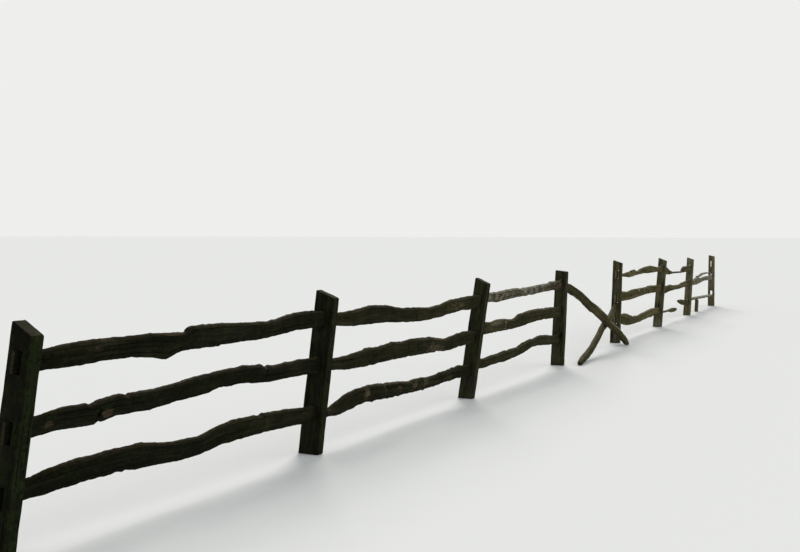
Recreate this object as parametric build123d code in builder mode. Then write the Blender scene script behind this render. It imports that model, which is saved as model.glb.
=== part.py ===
from build123d import *
import os
from dataclasses import dataclass
from math import cos, radians, sin

os.makedirs("parts", exist_ok=True)

# An old mortised fence of cleft oak: eight leaning posts with three rows of hand-split rails.
# The origin is the foot of post 1 at ground level. The row runs along +X, +Y is the far side,
# and the posts lean towards the near side. Lengths are in millimetres and angles in degrees.

# Spacing of the posts, centre to centre, and how far each bay is off it
BAY_LENGTH = 2750
BAY_ERRORS = [-20, 30, 0, 10, 50, -70, 70]

# Posts 1 to 8: place across the row, lean, width across the row, thickness along it
POST_ACROSS = [0, -100, -140, -160, -130, -110, -75, -40]
POST_LEAN = [11.5, 7.5, 8.5, 2.5, 1.5, 4, 3, 0]
POST_WIDTH = [145, 165, 145, 150, 135, 140, 130, 130]
POST_THICKNESS = [85, 75, 75, 75, 70, 75, 70, 70]

# The head of each post is cut on a slant, high on the far side
HEAD_HEIGHT = [1210, 1205, 1185, 1155, 1210, 1180, 1130, 1115]
HEAD_FALL = [50, 40, 40, 10, 40, 45, 40, 30]
FOOT_FLARE = 8
HEAD_TAPER = 8
POST_EDGE = 9
HEAD_EDGE = 5

# Height of the sill of each mortise, measured up its post
SILLS = {
    "top": [955, 945, 900, 930, 945, 950, 865, 860],
    "middle": [600, 610, 555, 595, 590, 605, 570, 580],
    "bottom": [265, 245, 230, 270, 280, 215, 215, 210],
}
MORTISE_WIDTH = 54
MORTISE_HEIGHT = 122

# Each rail end is scarfed to a blade of half the mortise, so that two blades lie side by side in it
FIT_CLEARANCE = 1.5
SEAT_GAP = 0.3
RAIL_THICKNESS = MORTISE_WIDTH - 2 * FIT_CLEARANCE
BLADE_HEADROOM = 3
BLADE_DEPTH = MORTISE_HEIGHT - BLADE_HEADROOM
BLADE_PROJECTION = 18
SCARF_LENGTH = 240
SHOULDER_CLEARANCE = 5
SHOULDER_LENGTH = BLADE_PROJECTION + SHOULDER_CLEARANCE
RAIL_TOP_EDGE = 15
RAIL_UNDER_EDGE = 9


@dataclass
class Post:
    """One post: its foot on the ground, its lean and its mortises."""

    along: float
    across: float
    lean: float
    width: float
    thickness: float
    head: float
    fall: float
    sills: dict


@dataclass
class Rail:
    """One rail: its bay from 1, its row of mortises and its uneven outline.

    Each station gives the share of the bay in percent, the lift of the underside above the line
    from sill to sill, and the depth there. The bow is how far the middle stands to the near side.
    """

    bay: int
    level: str
    bow: float
    stations: list
    ends: tuple = ("left", "right")
    blade_depth: float = BLADE_DEPTH


def make_posts():
    posts = []
    for i in range(len(POST_ACROSS)):
        sills = {level: heights[i] for level, heights in SILLS.items()}
        posts.append(
            Post(i * BAY_LENGTH + sum(BAY_ERRORS[:i]), POST_ACROSS[i], POST_LEAN[i], POST_WIDTH[i],
                 POST_THICKNESS[i], HEAD_HEIGHT[i], HEAD_FALL[i], sills)
        )
    return posts


def section_plane(along, across, lean):
    """The upright plane square to the row, turned with the lean: x is across and y is up."""
    turn = radians(lean)
    return Plane(origin=(along, across, 0), x_dir=(0, cos(turn), sin(turn)), z_dir=(1, 0, 0))


def cleft_outline(near, far, under, over, under_edge, over_edge):
    """An upright rectangle with its four corners worn off."""
    width = far - near
    depth = over - under
    low = min(under_edge, width / 3, depth / 3)
    high = min(over_edge, width / 3, depth / 3)
    return [
        (near + low, under), (far - low, under), (far, under + low), (far, over - high),
        (far - high, over), (near + high, over), (near, over - high), (near, under + low),
    ]


def make_post(post):
    """A cleft post with its slanted head, cut level at the ground, and its three mortises."""
    turn = radians(post.lean)
    upright = Plane(
        origin=(post.along, post.across, 0),
        x_dir=(0, cos(turn), sin(turn)),
        z_dir=(0, -sin(turn), cos(turn)),
    )
    half_thickness = post.thickness / 2
    with BuildPart() as body:
        for height, growth in ((-post.width, FOOT_FLARE), (post.head / 2, 0), (post.head, -HEAD_TAPER)):
            half_width = (post.width + growth) / 2
            with BuildSketch(upright.offset(height)):
                Polygon(
                    *cleft_outline(-half_width, half_width, -half_thickness, half_thickness,
                                   POST_EDGE, POST_EDGE),
                    align=None,
                )
        loft(ruled=True)
        split(bisect_by=Plane.XY, keep=Keep.TOP)
        slant = upright.offset(post.head - post.fall / 2)
        head_cut = Plane(
            origin=slant.origin,
            x_dir=slant.y_dir,
            z_dir=slant.z_dir * post.width - slant.x_dir * post.fall,
        )
        split(bisect_by=head_cut, keep=Keep.BOTTOM)
        head_face = body.faces().sort_by(Axis.Z)[-1]
        chamfer(head_face.edges(), HEAD_EDGE)
        with BuildSketch(section_plane(post.along, post.across, post.lean)):
            for sill in post.sills.values():
                with Locations((0, sill + MORTISE_HEIGHT / 2)):
                    Rectangle(MORTISE_WIDTH, MORTISE_HEIGHT)
        extrude(amount=post.thickness, both=True, mode=Mode.SUBTRACT)
    return body.part


def loft_sections(sections):
    """Join cross-sections, given as (plane, near, far, under, depth), by straight facets."""
    with BuildPart() as body:
        for plane, near, far, under, depth in sections:
            with BuildSketch(plane):
                Polygon(
                    *cleft_outline(near, far, under, under + depth, RAIL_UNDER_EDGE, RAIL_TOP_EDGE),
                    align=None,
                )
        loft(ruled=True)
    return body.part


def make_rail(rail, posts):
    """A hand-split rail between two posts, with a blade at each end that is still whole."""
    left = posts[rail.bay - 1]
    right = posts[rail.bay]
    left_face = left.along + left.thickness / 2
    right_face = right.along - right.thickness / 2
    half = RAIL_THICKNESS / 2

    def plane_at(along):
        share = min(max((along - left_face) / (right_face - left_face), 0), 1)
        bow = rail.bow * sin(radians(180 * share))
        across = left.across + (right.across - left.across) * share - bow
        return section_plane(along, across, left.lean + (right.lean - left.lean) * share)

    def sides_at(along):
        past_left = (along - left_face - SHOULDER_LENGTH) / SCARF_LENGTH
        past_right = (right_face - SHOULDER_LENGTH - along) / SCARF_LENGTH
        left_share = min(max(1 - past_left, 0), 1) if "left" in rail.ends else 0
        right_share = min(max(1 - past_right, 0), 1) if "right" in rail.ends else 0
        cut = half + FIT_CLEARANCE / 2
        return -half + cut * left_share, half - cut * right_share

    def blade(post, tip, mouth):
        under = post.sills[rail.level] + SEAT_GAP
        return [(plane_at(along), *sides_at(along), under, rail.blade_depth) for along in (tip, mouth)]

    sections = []
    if "left" in rail.ends:
        tip = left.along - left.thickness / 2 - BLADE_PROJECTION
        sections += blade(left, tip, left_face + SHOULDER_LENGTH)
    for percent, lift, depth in rail.stations:
        share = percent / 100
        along = left.along + (right.along - left.along) * share
        line = left.sills[rail.level] + (right.sills[rail.level] - left.sills[rail.level]) * share
        sections.append((plane_at(along), *sides_at(along), line + lift, depth))
    if "right" in rail.ends:
        tip = right.along + right.thickness / 2 + BLADE_PROJECTION
        sections += blade(right, right_face - SHOULDER_LENGTH, tip)
    return loft_sections(sections)


# The rails that still stand in their mortises, or part of them
RAILS = {
    "bay_1_top_rail": Rail(1, "top", 8, [
        (4, 0, 105), (10, 0, 125), (19, 5, 120), (27, 0, 120), (33, -20, 140), (37, -45, 155),
        (41, -10, 115), (45, -5, 140), (55, -15, 140), (63, -10, 120), (73, -10, 110),
        (85, 5, 125), (91, 10, 125), (95, 5, 120),
    ]),
    "bay_1_middle_rail": Rail(1, "middle", -10, [
        (4, 5, 110), (10, 20, 115), (19, 5, 125), (25, 30, 115), (34, 15, 115), (44, 30, 110),
        (51, 35, 120), (59, 50, 110), (66, 50, 110), (74, 20, 125), (79, 15, 105),
        (86, 15, 110), (91, 10, 115), (95, 5, 115),
    ]),
    "bay_1_bottom_rail": Rail(1, "bottom", 12, [
        (4, 15, 105), (9, 20, 135), (16, 35, 135), (27, 35, 135), (33, 20, 150), (37, 15, 135),
        (44, 5, 120), (52, 0, 115), (58, 20, 135), (65, 30, 135), (76, 30, 130),
        (83, 20, 130), (90, 15, 120), (95, 5, 120),
    ]),
    "bay_2_top_rail": Rail(2, "top", -8, [
        (6, -5, 95), (14, -20, 120), (24, -20, 145), (34, -25, 135), (42, -40, 120),
        (54, -55, 120), (62, -50, 105), (68, -40, 110), (76, -20, 125), (84, -5, 120),
        (90, -5, 135), (95, 0, 130),
    ]),
    "bay_2_middle_rail": Rail(2, "middle", 10, [
        (6, -5, 85), (14, -20, 110), (24, -20, 140), (30, -10, 130), (38, -5, 145),
        (44, -10, 140), (52, -5, 145), (62, -10, 145), (68, -15, 125), (74, -20, 110),
        (82, -15, 130), (90, 0, 130), (95, 0, 125),
    ]),
    "bay_2_bottom_rail": Rail(2, "bottom", -6, [
        (5, 0, 60), (8, 5, 65), (10, 0, 90), (14, 10, 120), (20, 30, 125), (26, 35, 130),
        (32, 25, 130), (40, 10, 125), (46, 10, 120), (52, 5, 100), (58, -5, 115),
        (66, -5, 105), (72, -5, 105), (78, 10, 100), (84, 10, 110), (90, 10, 115), (95, 0, 115),
    ]),
    "bay_3_top_rail": Rail(3, "top", 6, [
        (7, 40, 90), (15, 20, 105), (20, 25, 100), (30, 25, 105), (39, 25, 95), (48, 20, 90),
        (60, 15, 90), (69, 20, 90), (78, 15, 90), (82, 15, 105), (88, 10, 105), (95, 5, 110),
    ]),
    "bay_3_middle_rail": Rail(3, "middle", -8, [
        (7, 55, 130), (15, 50, 110), (21, 45, 125), (29, 35, 120), (35, 30, 105), (40, 25, 100),
        (44, 25, 140), (52, 25, 145), (59, 35, 140), (68, 35, 135), (77, 25, 130),
        (89, 10, 130), (95, 5, 120),
    ]),
    "bay_3_bottom_rail": Rail(3, "bottom", 9, [
        (5, 35, 100), (12, 30, 95), (18, 35, 95), (24, 30, 95), (30, 20, 115), (38, 25, 105),
        (46, 30, 100), (52, 45, 110), (60, 70, 100), (64, 75, 85), (70, 70, 105),
        (76, 50, 120), (82, 35, 115), (88, 20, 110), (95, 5, 110),
    ]),
    "bay_5_top_rail": Rail(5, "top", -7, [
        (8, 20, 40), (16, 5, 60), (23, -10, 85), (29, -5, 95), (35, 5, 95), (41, 10, 55),
        (48, 15, 80), (57, 15, 100), (70, 10, 120), (78, 10, 100), (89, 5, 80),
    ]),
    "bay_5_middle_rail": Rail(5, "middle", 8, [
        (6, 5, 155), (14, 0, 140), (20, 0, 125), (26, 0, 145), (34, 5, 140), (46, 15, 125),
        (62, 25, 120), (72, 25, 125), (80, 15, 120), (88, 15, 115),
    ]),
    "bay_5_bottom_rail": Rail(5, "bottom", -10, [
        (5, 10, 105), (10, -5, 125), (16, -40, 170), (24, -65, 175), (34, -65, 130),
        (48, -60, 110), (64, -30, 115), (78, -15, 130), (88, -5, 130),
    ]),
    "bay_6_top_rail": Rail(6, "top", 5, [
        (5, -30, 120), (14, -50, 120), (23, -50, 70), (35, -35, 30), (49, -32, 28),
        (66, -28, 28), (70, -25, 95), (74, -20, 110), (88, -5, 105),
    ]),
    "bay_6_middle_rail": Rail(6, "middle", -9, [
        (6, -40, 130), (15, -45, 130), (24, -30, 115), (33, -20, 110), (42, -20, 90),
        (54, -15, 80), (65, -15, 80), (73, -5, 100), (86, 5, 105),
    ]),
    "bay_6_bottom_rail_left": Rail(6, "bottom", 0, [
        (5, 0, 60), (17, -5, 30), (33, -15, 35), (41, -45, 75), (52, -50, 70), (57, -35, 35),
    ], ends=("left",)),
    "bay_6_bottom_rail_right": Rail(6, "bottom", 0, [
        (62, 110, 30), (67, 75, 65), (74, 45, 90), (83, 10, 105), (92, 0, 110),
    ], ends=("right",)),
    "bay_7_middle_rail": Rail(7, "middle", 7, [
        (5, 0, 105), (15, 0, 110), (29, -10, 150), (36, 0, 120), (45, 10, 85), (56, 25, 85),
        (65, 25, 85), (82, 10, 90), (93, 5, 95),
    ]),
    "bay_7_top_rail_stub": Rail(7, "top", 0, [], ends=("right",)),
}

# The splinter that lifted off the last middle rail: it rests on the rail at its seats
SPLINTER_SEATS = [(29, 15), (36, 45)]
SPLINTER_STATIONS = [
    (41, 130, 50), (50, 155, 42), (60, 162, 35), (75, 158, 28), (85, 150, 22), (93, 138, 14),
]

# The plank that serves as the bottom rail of the last bay, and the prop under it
BOARD_WIDTH = 110
BOARD_THICKNESS = 40
BOARD_TONGUE_LENGTH = 60
BOARD_LIFT = 75
PROP_SHARE = 36
PROP_WIDTH = 95
PROP_THICKNESS = 60

# The two fallen rails: stations of (distance from the post, underside, depth)
FALLEN_TOP_SWING = 200
FALLEN_TOP_TILT = 0.21
FALLEN_TOP_BLADE_DEPTH = 90
FALLEN_TOP_STATIONS = [
    (180, 890, 110), (310, 856, 118), (670, 750, 120), (1045, 590, 132), (1325, 497, 138),
    (1500, 425, 140), (1660, 368, 135), (1705, 350, 105), (1980, 240, 105), (2230, 142, 108),
    (2395, 52, 115), (2510, 3, 105), (2600, 0, 45),
]
FALLEN_MIDDLE_STATIONS = [
    (0, 455, 120), (265, 406, 122), (460, 348, 122), (610, 317, 122), (850, 294, 120),
    (1055, 270, 121), (1330, 188, 118), (1640, 115, 115), (1910, 56, 110), (2160, 24, 105),
    (2380, 8, 100), (2580, 0, 76), (2690, 0, 45),
]


def splinter_of(rail):
    """A thin length of a rail, split off its upper edge and resting on it."""
    tops = {percent: lift + depth for percent, lift, depth in rail.stations}
    seats = [(percent, tops[percent] + SEAT_GAP, depth) for percent, depth in SPLINTER_SEATS]
    return Rail(rail.bay, rail.level, rail.bow, seats + SPLINTER_STATIONS, ends=())


def make_board(left, right):
    """A plank laid flat from the upper part of one mortise to the sill of the next."""
    left_face = left.along + left.thickness / 2
    right_face = right.along - right.thickness / 2
    half_board = BOARD_WIDTH / 2
    half_rail = RAIL_THICKNESS / 2
    gap = FIT_CLEARANCE / 2
    left_place = (left.across, left.lean)
    right_place = (right.across, right.lean)
    sections = []
    for along, place, near, far in (
        (left.along - left.thickness / 2 - BLADE_PROJECTION, left_place, gap, half_rail),
        (left_face + SHOULDER_LENGTH, left_place, gap, half_rail),
        (left_face + BOARD_TONGUE_LENGTH, left_place, -half_board, half_board),
        (right_face - BOARD_TONGUE_LENGTH, right_place, -half_board, half_board),
        (right_face - SHOULDER_LENGTH, right_place, -half_rail, -gap),
        (right.along + right.thickness / 2 + BLADE_PROJECTION, right_place, -half_rail, -gap),
    ):
        under = board_underside(left, right, along)
        sections.append((section_plane(along, *place), near, far, under, BOARD_THICKNESS))
    return loft_sections(sections)


def board_underside(left, right, along):
    """Height of the plank's underside: level over the posts and falling from one to the other."""
    left_face = left.along + left.thickness / 2
    right_face = right.along - right.thickness / 2
    share = min(max((along - left_face) / (right_face - left_face), 0), 1)
    start = left.sills["bottom"] + BOARD_LIFT
    end = right.sills["bottom"] + SEAT_GAP
    return start + (end - start) * share


def make_prop(left, right):
    """A short cleft stake that holds up the plank beside its higher end."""
    share = PROP_SHARE / 100
    along = left.along + (right.along - left.along) * share
    across = left.across + (right.across - left.across) * share
    turn = radians(left.lean + (right.lean - left.lean) * share)
    upright = Plane(
        origin=(along, across, 0), x_dir=(0, cos(turn), sin(turn)), z_dir=(0, -sin(turn), cos(turn))
    )
    outline = cleft_outline(-PROP_THICKNESS / 2, PROP_THICKNESS / 2, -PROP_WIDTH / 2, PROP_WIDTH / 2,
                            POST_EDGE, POST_EDGE)
    head = board_underside(left, right, along + PROP_WIDTH / 2) - SEAT_GAP
    with BuildPart() as body:
        with BuildSketch(upright.offset(-PROP_WIDTH)):
            Polygon(*outline, align=None)
        extrude(amount=PROP_WIDTH + head)
        split(bisect_by=Plane.XY, keep=Keep.TOP)
    return body.part


def fallen_top_across(post, distance):
    """Place across the row of the fallen top rail, at a distance from the post that holds it."""
    start = post.thickness / 2
    share = (distance - start) / (FALLEN_TOP_STATIONS[-1][0] - start)
    return post.across - FALLEN_TOP_SWING * share


def fallen_top_turn(post, distance):
    """Lean of the fallen top rail in degrees: the post's lean at the post and none at its end."""
    return post.lean * (1 - distance / FALLEN_TOP_STATIONS[-1][0])


def make_fallen_top_rail(post):
    """Still held by the left post's top mortise, with its other end on the ground."""
    face = post.along + post.thickness / 2
    tip = post.along - post.thickness / 2 - BLADE_PROJECTION
    half = RAIL_THICKNESS / 2
    gap = FIT_CLEARANCE / 2
    sill = post.sills["top"] + SEAT_GAP
    plane = section_plane(tip, post.across, post.lean)
    rise = (face - tip) * FALLEN_TOP_TILT
    sections = [(plane, gap, half, sill + rise, FALLEN_TOP_BLADE_DEPTH)]
    for past in (0, SHOULDER_LENGTH):
        plane = section_plane(face + past, post.across, post.lean)
        sections.append((plane, gap, half, sill - past * FALLEN_TOP_TILT, FALLEN_TOP_BLADE_DEPTH))
    for distance, under, depth in FALLEN_TOP_STATIONS:
        across = fallen_top_across(post, distance)
        turn = fallen_top_turn(post, distance)
        if distance < SCARF_LENGTH:
            near = gap - (gap + half) * distance / SCARF_LENGTH
        else:
            near = -half
        sections.append((section_plane(post.along + distance, across, turn), near, half, under, depth))
    return loft_sections(sections)


def height_at(stations, distance, with_depth):
    """Height of a fallen rail's underside, or of its upper edge, between its stations."""
    for (start, under, depth), (end, next_under, next_depth) in zip(stations, stations[1:]):
        if distance <= end:
            share = (distance - start) / (end - start)
            height = under + (next_under - under) * share
            return height + (depth + (next_depth - depth) * share if with_depth else 0)
    return stations[-1][1]


def fallen_crossing(spacing):
    """Distance from the left post at which the two fallen rails first stand side by side."""
    low = FALLEN_TOP_STATIONS[0][0]
    high = spacing - FALLEN_MIDDLE_STATIONS[1][0]
    while high - low > SEAT_GAP:
        middle = (low + high) / 2
        lowest = height_at(FALLEN_TOP_STATIONS, middle, False) + RAIL_UNDER_EDGE
        highest = height_at(FALLEN_MIDDLE_STATIONS, spacing - middle, True) - RAIL_TOP_EDGE
        if highest < lowest:
            low = middle
        else:
            high = middle
    return high


def make_fallen_middle_rail(holder, post):
    """Out of its mortises: it leans on the right post, lies against the fallen top rail where
    the two cross, and ends on the ground."""
    face = post.along - post.thickness / 2 - SEAT_GAP
    half = RAIL_THICKNESS / 2
    crossing = fallen_crossing(post.along - holder.along)
    turn = radians(fallen_top_turn(holder, crossing))
    contact = height_at(FALLEN_TOP_STATIONS, crossing, False) + RAIL_UNDER_EDGE
    top_face = fallen_top_across(holder, crossing) + half * cos(turn) - contact * sin(turn)
    beside = top_face + SEAT_GAP + half
    reach = post.along - holder.along - crossing
    sections = []
    for distance, under, depth in FALLEN_MIDDLE_STATIONS:
        along = min(post.along - distance, face)
        across = post.across + (beside - post.across) * distance / reach
        sections.append((section_plane(along, across, 0), -half, half, under, depth))
    return loft_sections(sections)


posts = make_posts()
parts = {}
for number, post in enumerate(posts, start=1):
    parts[f"post_{number}"] = make_post(post)
for name, rail in RAILS.items():
    parts[name] = make_rail(rail, posts)
parts["bay_7_middle_splinter"] = make_rail(splinter_of(RAILS["bay_7_middle_rail"]), posts)
parts["bay_4_fallen_top_rail"] = make_fallen_top_rail(posts[3])
parts["bay_4_fallen_middle_rail"] = make_fallen_middle_rail(posts[3], posts[4])
parts["bay_7_bottom_board"] = make_board(posts[6], posts[7])
parts["bay_7_board_prop"] = make_prop(posts[6], posts[7])

for name, piece in parts.items():
    piece.label = name
    export_step(piece, f"parts/{name}.step")
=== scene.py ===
# %% [markdown]
# # An old post-and-rail fence
#
# This lesson dresses a row of cleft oak posts and rails in Blender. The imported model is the
# frame: it says where every post and rail stands and how big it is, and nothing here moves it.
# Each stick of wood is rebuilt as a long sleeve of fine rings round its solid, roughened by a
# Geometry Nodes tree that works along the grain, and given a procedural finish of weathered oak.
# Lengths are in metres.

# %% Load the frame
import math

import bmesh
import bpy
import numpy as np
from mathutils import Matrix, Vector


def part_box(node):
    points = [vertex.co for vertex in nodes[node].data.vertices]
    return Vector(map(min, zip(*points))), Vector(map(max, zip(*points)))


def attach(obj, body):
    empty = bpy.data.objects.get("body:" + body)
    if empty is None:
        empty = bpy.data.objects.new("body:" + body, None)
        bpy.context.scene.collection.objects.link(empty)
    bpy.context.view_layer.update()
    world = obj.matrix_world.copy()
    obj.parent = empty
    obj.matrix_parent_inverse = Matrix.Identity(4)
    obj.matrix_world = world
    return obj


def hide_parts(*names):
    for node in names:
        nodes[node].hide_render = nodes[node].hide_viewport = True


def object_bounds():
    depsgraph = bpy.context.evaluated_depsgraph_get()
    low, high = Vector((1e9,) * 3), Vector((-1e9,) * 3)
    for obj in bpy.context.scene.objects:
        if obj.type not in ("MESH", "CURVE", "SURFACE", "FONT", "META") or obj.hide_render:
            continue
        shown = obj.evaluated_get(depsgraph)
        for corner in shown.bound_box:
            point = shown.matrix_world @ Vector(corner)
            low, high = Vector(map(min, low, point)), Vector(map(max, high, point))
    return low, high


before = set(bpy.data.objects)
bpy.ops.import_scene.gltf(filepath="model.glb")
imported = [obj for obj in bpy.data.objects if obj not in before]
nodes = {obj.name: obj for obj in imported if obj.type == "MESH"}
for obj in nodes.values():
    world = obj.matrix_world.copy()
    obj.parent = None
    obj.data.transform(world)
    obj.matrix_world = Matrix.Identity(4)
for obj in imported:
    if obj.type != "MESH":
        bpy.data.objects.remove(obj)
cad_box = [list(corner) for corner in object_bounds()]
row_length = cad_box[1][0] - cad_box[0][0]
print("solids in the frame:", len(nodes), "and the row is", round(row_length, 2), "m long")

# %% [markdown]
# ## The camera
#
# A picture is matched best with the camera first. It stands at eye height on the near side of
# the first post and looks along the row, a little downwards. Its lens is 1000 pixels long in a
# picture 800 pixels wide, which is 45 mm on a 36 mm sensor.

# %% Camera
EYE = Vector((-3.442, -4.015, 1.620))
HEADING = Vector((0.8892, 0.4574, 0.0))
PITCH_DOWN = math.radians(2.505)
PICTURE_WIDTH = 800
LENS_PIXELS = 1000
SENSOR_WIDTH = 36.0
FARTHEST_SEEN = 500

camera_data = bpy.data.cameras.new("camera")
camera_data.sensor_width = SENSOR_WIDTH
camera_data.lens = SENSOR_WIDTH * LENS_PIXELS / PICTURE_WIDTH
camera_data.clip_end = FARTHEST_SEEN
camera = bpy.data.objects.new("camera", camera_data)
camera.location = EYE
look = HEADING.normalized() * math.cos(PITCH_DOWN) - Vector((0, 0, math.sin(PITCH_DOWN)))
camera.rotation_mode = "QUATERNION"
camera.rotation_quaternion = look.to_track_quat("-Z", "Y")
bpy.context.scene.collection.objects.link(camera)
bpy.context.scene.camera = camera
bpy.context.scene.view_settings.view_transform = "Standard"
print("lens", round(camera_data.lens, 1), "mm")

# %% [markdown]
# ## Reading the sticks
#
# A stick of wood is read from its solid as a stack of cross-sections. A cut through the solid
# gives a handful of points, and their convex outline is the section. Slices are cheap, so a
# rail is read every centimetre or so, which follows its waney edges closely.

# %% Slices through a solid
LEVEL = np.array([0.0, 0.0, 1.0])


def triangles_of(name):
    """The corner positions of every triangle of a solid, as an array of n x 3 x 3 metres."""
    mesh = nodes[name].data
    mesh.calc_loop_triangles()
    corners = np.empty(len(mesh.loop_triangles) * 3, np.int32)
    mesh.loop_triangles.foreach_get("vertices", corners)
    points = np.empty(len(mesh.vertices) * 3, np.float32)
    mesh.vertices.foreach_get("co", points)
    return points.reshape(-1, 3).astype(float)[corners].reshape(-1, 3, 3)


def slice_points(triangles, origin, normal):
    """Where the edges of the triangles cross a plane."""
    side = (triangles - origin) @ normal
    found = []
    for start, end in ((0, 1), (1, 2), (2, 0)):
        crosses = side[:, start] * side[:, end] < 0
        first, last = triangles[crosses, start], triangles[crosses, end]
        share = side[crosses, start] / (side[crosses, start] - side[crosses, end])
        found.append(first + (last - first) * share[:, None])
    return np.concatenate(found)


print("post_1 is read from", len(triangles_of("post_1")), "triangles")

# %% The outline of a slice
SAME_PLACE_DIGITS = 6
TINY = 1e-9


def cross_of(a, b, c):
    """Above 0 where the way from a through b to c turns left."""
    return (b[0] - a[0]) * (c[1] - a[1]) - (b[1] - a[1]) * (c[0] - a[0])


def convex_outline(points):
    """The corners of the convex outline of flat points, anticlockwise."""
    ordered = sorted(set(map(tuple, np.round(points, SAME_PLACE_DIGITS))))
    outline = []
    for sweep in (ordered, ordered[::-1]):
        chain = []
        for point in sweep:
            while len(chain) > 1 and cross_of(chain[-2], chain[-1], point) <= 0:
                chain.pop()
            chain.append(point)
        outline += chain[:-1]
    return np.array(outline)


def reach(outline, directions):
    """How far the outline stretches from its origin, in multiples of each direction."""
    edge = np.roll(outline, -1, axis=0) - outline
    outward = np.stack([edge[:, 1], -edge[:, 0]], axis=1)
    height = np.einsum("ij,ij->i", outward, outline)
    facing = directions @ outward.T
    return np.where(facing > TINY, height / np.maximum(facing, TINY), np.inf).min(axis=1)


half_metre_up = slice_points(triangles_of("post_1"), LEVEL / 2, LEVEL)
print("half a metre up, its outline has", len(convex_outline(half_metre_up[:, :2])), "corners")

# %% [markdown]
# ## A sleeve of rings
#
# Wood splits and weathers along its grain, so the mesh has long rows of faces along the stick
# and fine steps round it. All rings have the same counts of points on their sides, and opposite
# sides are alike, so the columns run straight from end to end and a plain grid closes each end.
# That leaves no pole and no open seam.

# %% One ring and the grid that closes it
RAIL_STEPS = (24, 10)
PLANK_STEPS = (8, 22)


def ring_marks(deep, thick):
    """Marks round a unit square as (thick, deep) pairs: up, across, down and back."""
    low = np.full(len(deep) - 1, -1.0)
    flat = np.full(len(thick) - 1, 1.0)
    return np.concatenate([
        np.stack([low, deep[:-1]], 1),
        np.stack([thick[:-1], flat], 1),
        np.stack([-low, deep[:0:-1]], 1),
        np.stack([thick[:0:-1], -flat], 1),
    ])


def end_grid(ring, deep_steps, thick_steps):
    """Values spread over an end from the values on its ring."""
    half = deep_steps + thick_steps
    left = ring[:deep_steps + 1]
    top = ring[deep_steps:half + 1]
    right = ring[half:half + deep_steps + 1][::-1]
    under = np.concatenate([ring[half + deep_steps:], ring[:1]])[::-1]
    s = np.linspace(0, 1, deep_steps + 1)[:, None, None]
    t = np.linspace(0, 1, thick_steps + 1)[None, :, None]
    ruled = (1 - t) * left[:, None] + t * right[:, None] + (1 - s) * under[None] + s * top[None]
    low = (1 - t) * left[0] + t * right[0]
    high = (1 - t) * left[-1] + t * right[-1]
    return (ruled - (1 - s) * low - s * high)[1:-1, 1:-1].reshape(-1, ring.shape[1])


def end_numbers(first, deep_steps, thick_steps, inner):
    """Vertex numbers of that grid: the ring on its border and new points inside."""
    half = deep_steps + thick_steps
    grid = np.empty((deep_steps + 1, thick_steps + 1), int)
    new = np.arange((deep_steps - 1) * (thick_steps - 1)).reshape(deep_steps - 1, -1)
    grid[1:-1, 1:-1] = inner + new
    grid[:, 0] = first + np.arange(deep_steps + 1)
    grid[-1, :] = first + deep_steps + np.arange(thick_steps + 1)
    grid[::-1, -1] = first + half + np.arange(deep_steps + 1)
    grid[0, ::-1] = first + (half + deep_steps + np.arange(thick_steps + 1)) % (2 * half)
    return grid


def quads_of(grid):
    """The faces between neighbouring rows and columns of a grid of vertex numbers."""
    return np.stack([grid[:-1, :-1], grid[1:, :-1], grid[1:, 1:], grid[:-1, 1:]], -1)


print("a ring of a rail has", 2 * sum(RAIL_STEPS), "points")

# %% [markdown]
# A stick also carries what the finish needs at each point: its place in the grain, how deep a
# drying crack is there, whether it is cut end grain, whether it has to stay calm because it sits
# in a mortise, whether the wood was laid bare, and how dry it is, which also sets how lit it is
# painted: damp and dark in painted shade near the eye, dry and pale in painted haze far off.
# These travel as attributes of the mesh.

# %% From values at points to a mesh
ALONG, ACROSS, UP, GRAIN_ALONG = range(4)
# The last mark is dryness and painted light together: low is damp wood in painted shade, high is
# dry wood in painted haze
CRACK, CUT, CALM, LAID_BARE, DRY_AND_LIT = range(6, 11)
PLACE = slice(0, 3)
GRAIN = slice(3, 6)
PLACE_AND_GRAIN = slice(0, 6)


def mesh_from(name, values, faces):
    """A smooth mesh with its attributes, its faces turned outwards."""
    mesh = bpy.data.meshes.new(name)
    mesh.from_pydata(values[:, PLACE].tolist(), [], faces.tolist())
    shell = bmesh.new()
    shell.from_mesh(mesh)
    bmesh.ops.recalc_face_normals(shell, faces=shell.faces)
    shell.to_mesh(mesh)
    shell.free()
    mesh.shade_smooth()
    grain = mesh.attributes.new("grain", "FLOAT_VECTOR", "POINT")
    grain.data.foreach_set("vector", values[:, GRAIN].ravel())
    normals = np.empty(len(mesh.vertices) * 3, np.float32)
    mesh.vertex_normals.foreach_get("vector", normals)
    marks = {"crack": values[:, CRACK], "cut": values[:, CUT], "calm": values[:, CALM],
             "bare": values[:, LAID_BARE], "dry_and_lit": values[:, DRY_AND_LIT],
             "sky": normals[UP::3], "near": -normals[ACROSS::3]}
    for key, column in marks.items():
        mark = mesh.attributes.new(key, "FLOAT", "POINT")
        mark.data.foreach_set("value", np.ascontiguousarray(column))
    return mesh


def window_loop(numbers, rows, columns):
    """Vertex numbers once round a window in the skin."""
    low, high = rows
    step = 1 if columns[1] > columns[0] else -1
    across = np.arange(columns[0], columns[1] + step, step)
    up = np.arange(low, high + 1)
    return np.concatenate([
        numbers[low, across[:-1]], numbers[up[:-1], columns[1]],
        numbers[high, across[:0:-1]], numbers[up[:0:-1], columns[0]],
    ])


print("each point of a stick carries", DRY_AND_LIT + 1, "values")

# %% The stick


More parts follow.
